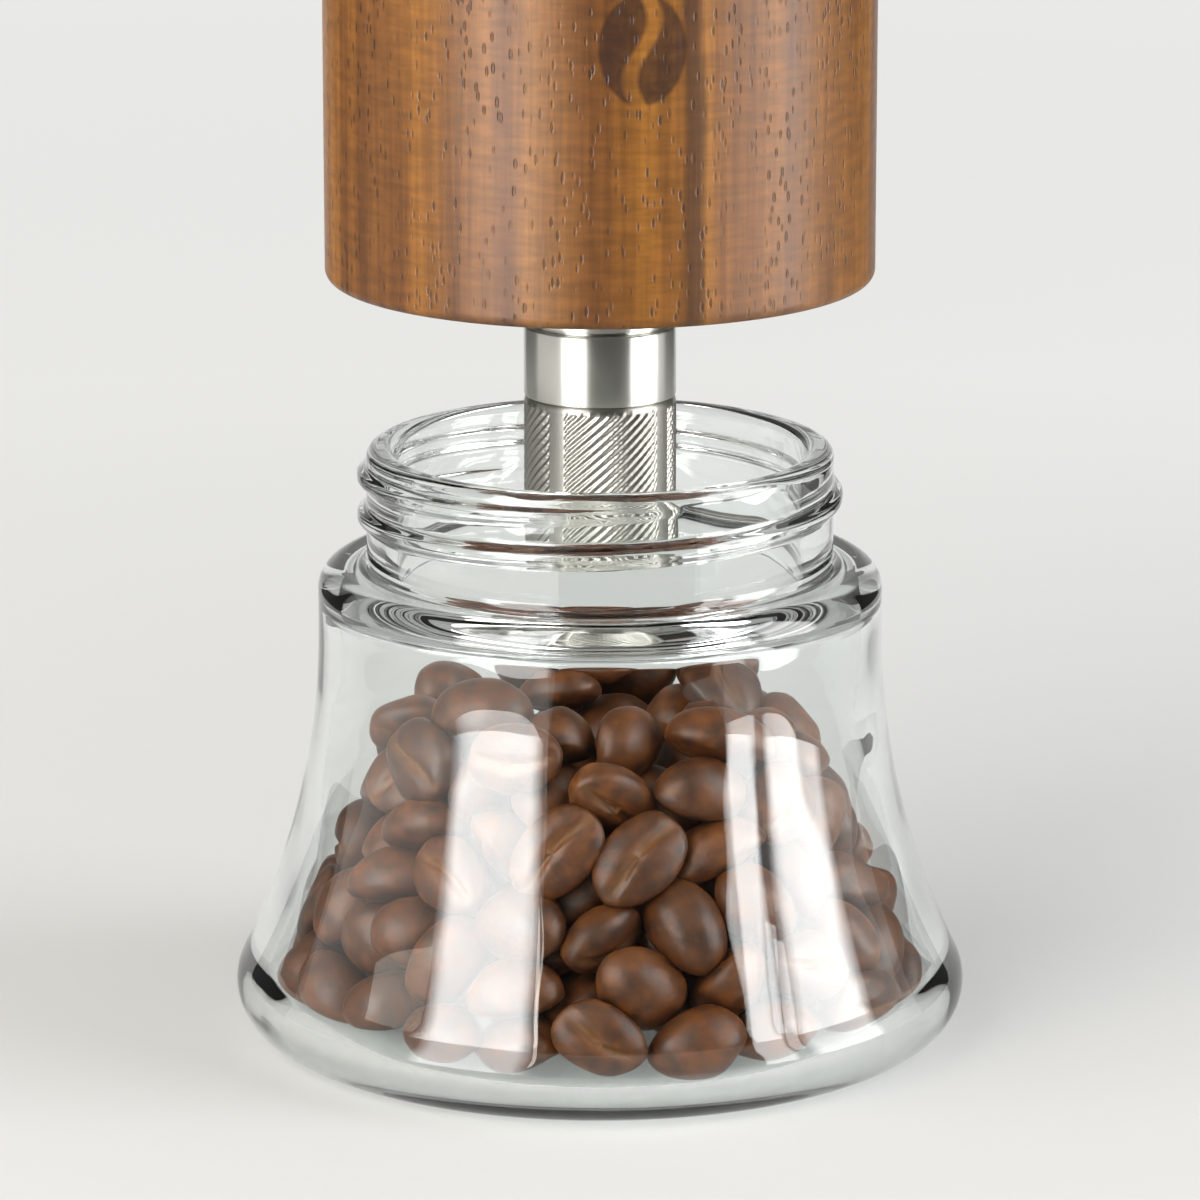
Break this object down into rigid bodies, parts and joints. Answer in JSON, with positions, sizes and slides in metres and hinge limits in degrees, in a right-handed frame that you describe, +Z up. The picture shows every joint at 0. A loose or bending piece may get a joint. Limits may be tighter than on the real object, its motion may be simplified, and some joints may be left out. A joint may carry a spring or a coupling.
{
  "type": "hand crank coffee grinder",
  "caption": "Cylindrical wooden hand coffee mill with a conical ceramic burr, folding-free crank and lid, knurled grind adjuster and a bell-shaped screw-on glass jar.",
  "frame": {"origin": "centre of the jar's flat base, on the table", "axes": "+Z up along the mill's axis, +X from the axis towards the crank knob at rest"},
  "size_m": [0.1536, 0.0812, 0.233],
  "materials": {
    "clear_glass": "clear moulded soda-lime glass",
    "silicone": "matt silicone rubber",
    "oiled_wood": "turned and oiled walnut-brown hardwood",
    "dark_plastic": "moulded nylon",
    "ceramic": "unglazed white alumina ceramic",
    "satin_steel": "satin stainless steel",
    "knurled_steel": "diagonally knurled stainless steel",
    "bright_steel": "bright turned steel",
    "bronze": "sintered bronze",
    "spring_steel": "dark oiled spring steel"
  },
  "bodies": {
    "jar": {"glass_jar": "clear_glass"},
    "gasket": {"rim_gasket": "silicone"},
    "mill_body": {"wooden_body": "oiled_wood", "threaded_collar": "dark_plastic", "burr_housing": "dark_plastic", "outer_burr": "ceramic", "burr_retainer": "satin_steel", "retainer_screws": "bright_steel", "lower_bridge": "dark_plastic", "lower_bush": "bronze", "hopper_cup": "satin_steel", "upper_bridge": "satin_steel", "upper_bush": "bronze", "top_rim": "satin_steel"},
    "shaft": {"drive_shaft": "bright_steel", "thrust_washer": "bright_steel", "shaft_circlip": "spring_steel", "stop_screw": "bright_steel", "burr_spring": "spring_steel"},
    "burr_group": {"inner_burr": "ceramic", "stem_spacer": "satin_steel", "stem_sleeve": "satin_steel"},
    "adjuster": {"adjuster_knob": "knurled_steel"},
    "crank": {"lid": "satin_steel", "lid_seal": "silicone", "crank_hub": "satin_steel", "hub_clip": "spring_steel", "crank_arm": "satin_steel", "crank_nut": "bright_steel", "knob_spindle": "bright_steel", "spindle_nut": "bright_steel", "knob_washer": "bright_steel"},
    "knob": {"crank_knob": "oiled_wood", "knob_ferrule": "satin_steel"}
  },
  "joints": [
    {"name": "body_lift", "type": "slide", "parent": "jar", "child": "gasket", "axis": [0, 0, 1], "range_m": [-0.03115, 0.0178]},
    {"name": "body_turn", "type": "hinge", "parent": "gasket", "child": "mill_body", "pos_m": [0, 0, 0.0848], "axis": [0, 0, 1], "range_deg": [-2520, 1440]},
    {"name": "crank_spin", "type": "hinge", "parent": "mill_body", "child": "shaft", "pos_m": [0, 0, 0.0848], "axis": [0, 0, 1], "continuous": true},
    {"name": "crank_pull", "type": "slide", "parent": "shaft", "child": "crank", "axis": [0, 0, 1], "range_m": [0, 0.02]},
    {"name": "knob_spin", "type": "hinge", "parent": "crank", "child": "knob", "pos_m": [0.1, 0, 0.2], "axis": [0, 0, 1], "continuous": true},
    {"name": "burr_shift", "type": "slide", "parent": "shaft", "child": "burr_group", "axis": [0, 0, 1], "range_m": [-0.001, 0.001], "deforming": ["burr_spring"]},
    {"name": "adjuster_turn", "type": "hinge", "parent": "burr_group", "child": "adjuster", "pos_m": [0, 0, 0.0848], "axis": [0, 0, 1], "range_deg": [-360, 360]}
  ],
  "couplings": [
    {"joint": "body_lift", "follows": "body_turn", "m_per_rad": 0.00070823},
    {"joint": "adjuster_turn", "follows": "burr_shift", "rad_per_m": 6283}
  ]
}
